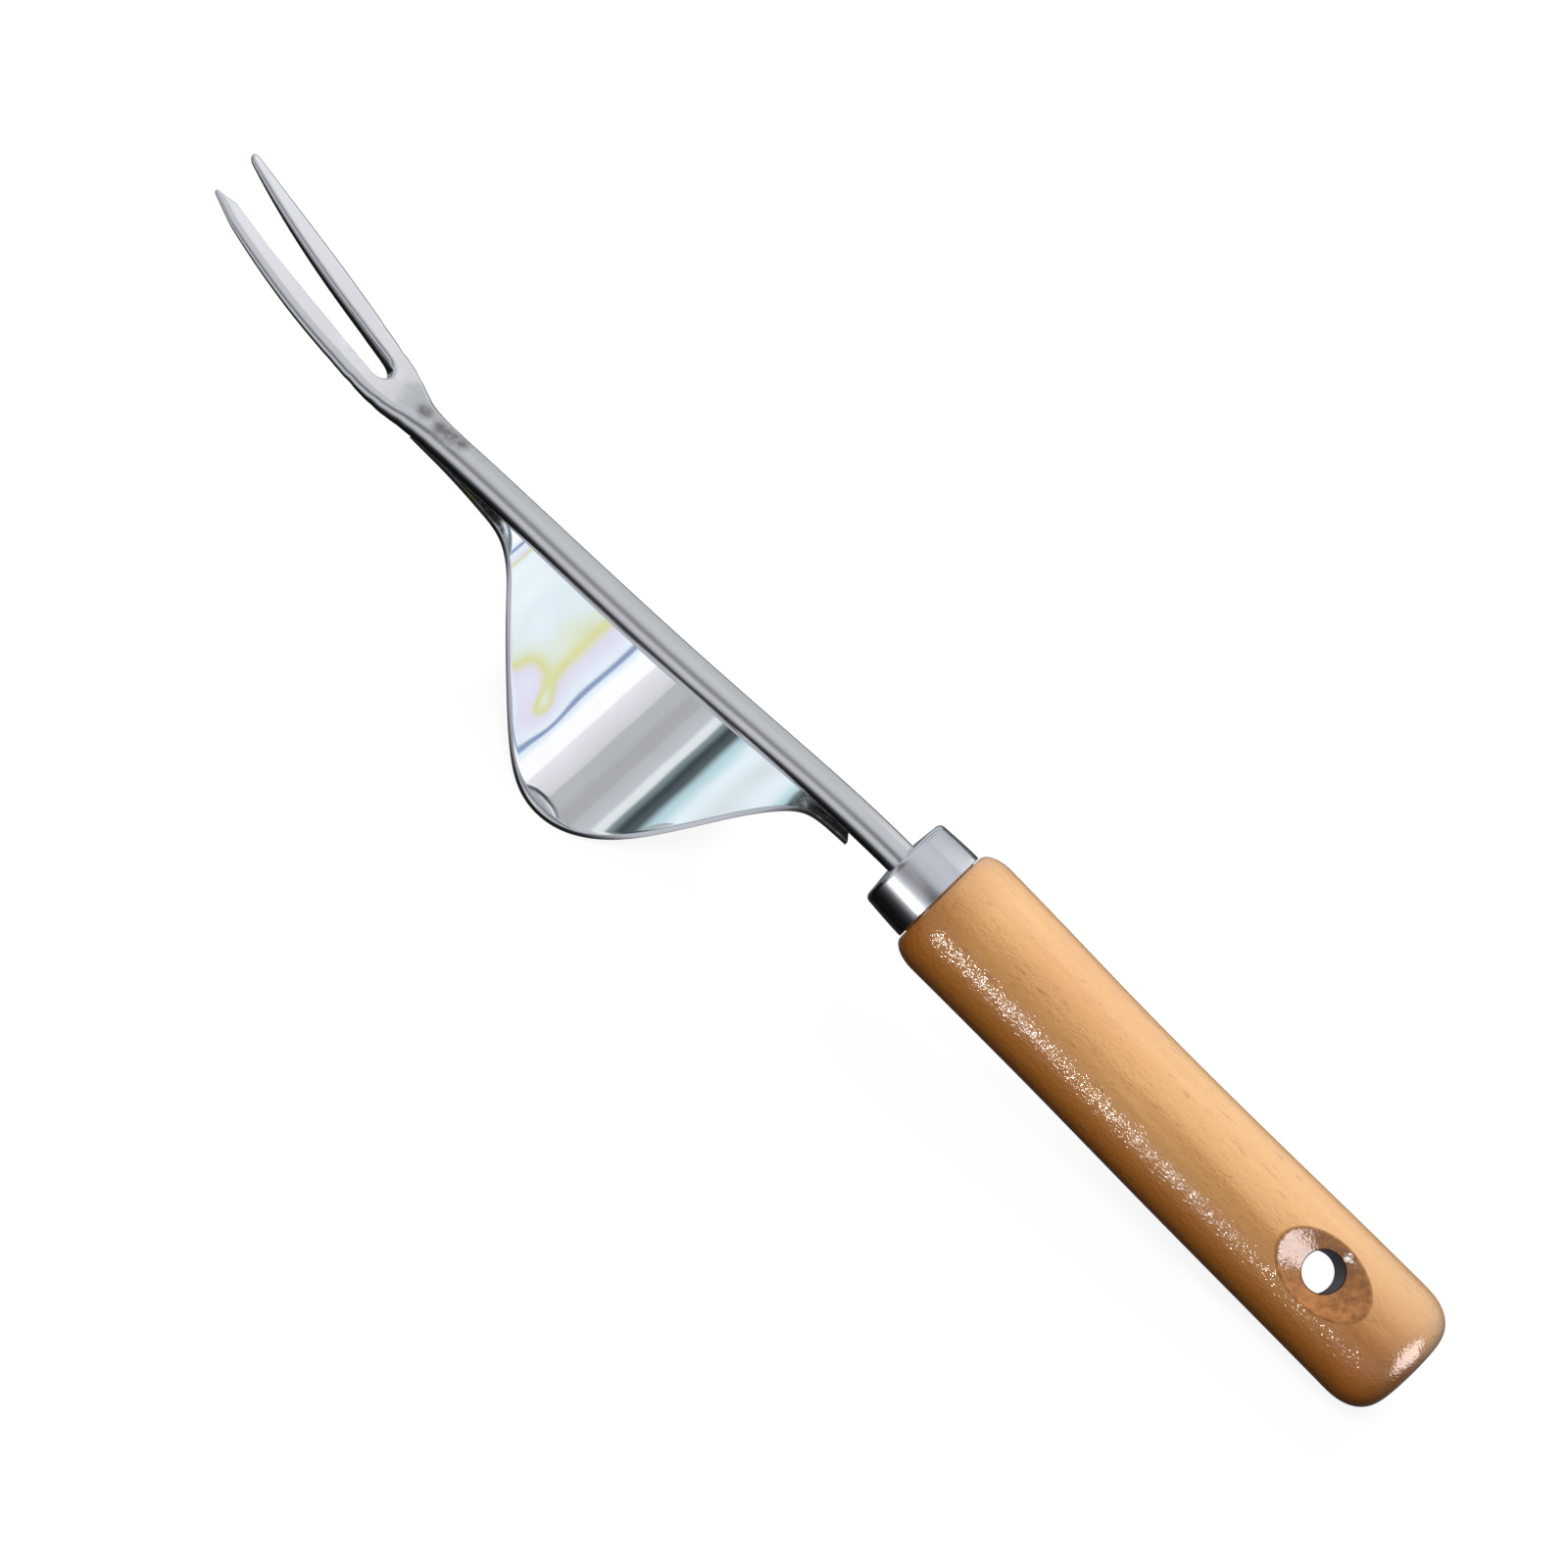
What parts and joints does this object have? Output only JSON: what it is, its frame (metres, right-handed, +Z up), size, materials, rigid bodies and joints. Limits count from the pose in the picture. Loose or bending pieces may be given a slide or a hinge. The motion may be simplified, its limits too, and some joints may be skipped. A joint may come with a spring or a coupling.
{
  "type": "hand weeder",
  "caption": "Hand weeder with a forked polished steel head, an arched leaf-shaped fulcrum plate under its shaft, a steel ferrule and a lacquered wooden handle with a hanging hole.",
  "frame": {"origin": "middle of the bounding box, on the surface that the tool rests on", "axes": "+X towards the tine tips, along the tool as it rests; +Y to the tool's left; +Z up, the front face of the fork upwards"},
  "size_m": [0.3206, 0.054, 0.0523],
  "materials": {
    "lacquered_wood": "turned hardwood under a glossy clear lacquer",
    "ferrule_steel": "bright, lightly brushed",
    "polished_steel": "hand polished stainless steel, uneven at the forged neck",
    "mirror_steel": "mirror polished stainless steel sheet",
    "weld_metal": "as welded",
    "cured_resin": "cast"
  },
  "bodies": {
    "root": {"handle": "lacquered_wood", "ferrule": "ferrule_steel", "fork_blade": "polished_steel", "fulcrum_plate": "mirror_steel", "weld_front": "weld_metal", "weld_rear": "weld_metal", "tang_glue": "cured_resin"}
  },
  "joints": []
}
